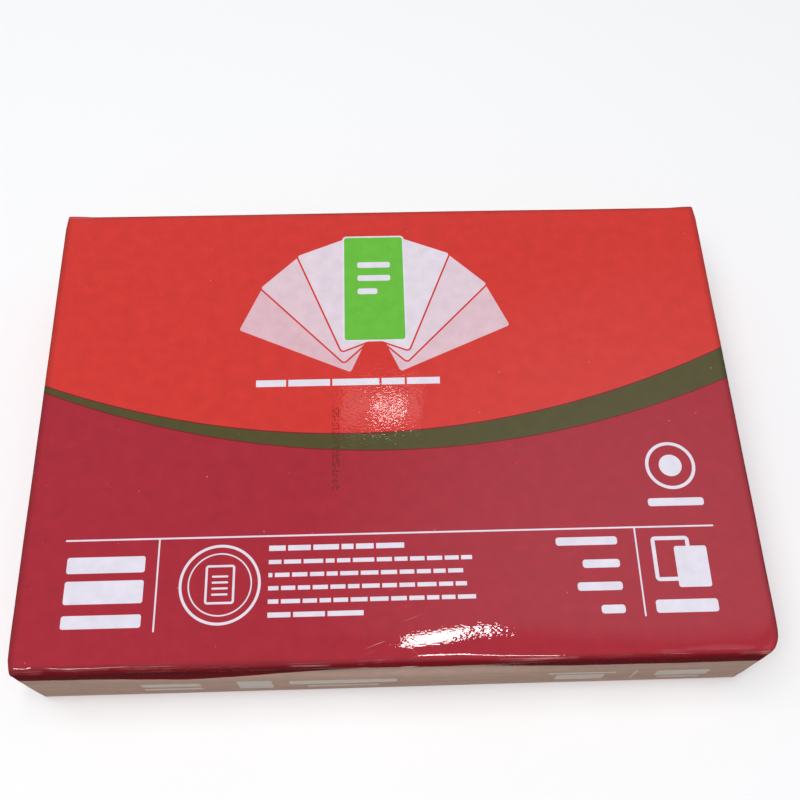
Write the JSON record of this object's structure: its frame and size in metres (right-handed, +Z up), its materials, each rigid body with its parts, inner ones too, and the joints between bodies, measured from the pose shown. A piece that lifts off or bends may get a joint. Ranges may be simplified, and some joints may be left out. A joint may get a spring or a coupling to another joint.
{
  "type": "ream of paper",
  "caption": "Sealed ream of copy paper lying flat: a brick-shaped stack in a glossy red, olive and tan paper wrapper, folded shut at both short ends.",
  "frame": {"origin": "middle of the underside, at the height of the surface that the pack lies on", "axes": "+X along the sheets' long side, to the right as the picture shows the pack; +Y from the front long side to the back one; +Z up through the stack"},
  "size_m": [0.299, 0.2108, 0.049],
  "materials": {
    "printed_wrapper": "glossy laminated print in fields of red, crimson, olive and tan"
  },
  "bodies": {
    "root": {"wrapped_ream": "printed_wrapper"}
  },
  "joints": []
}
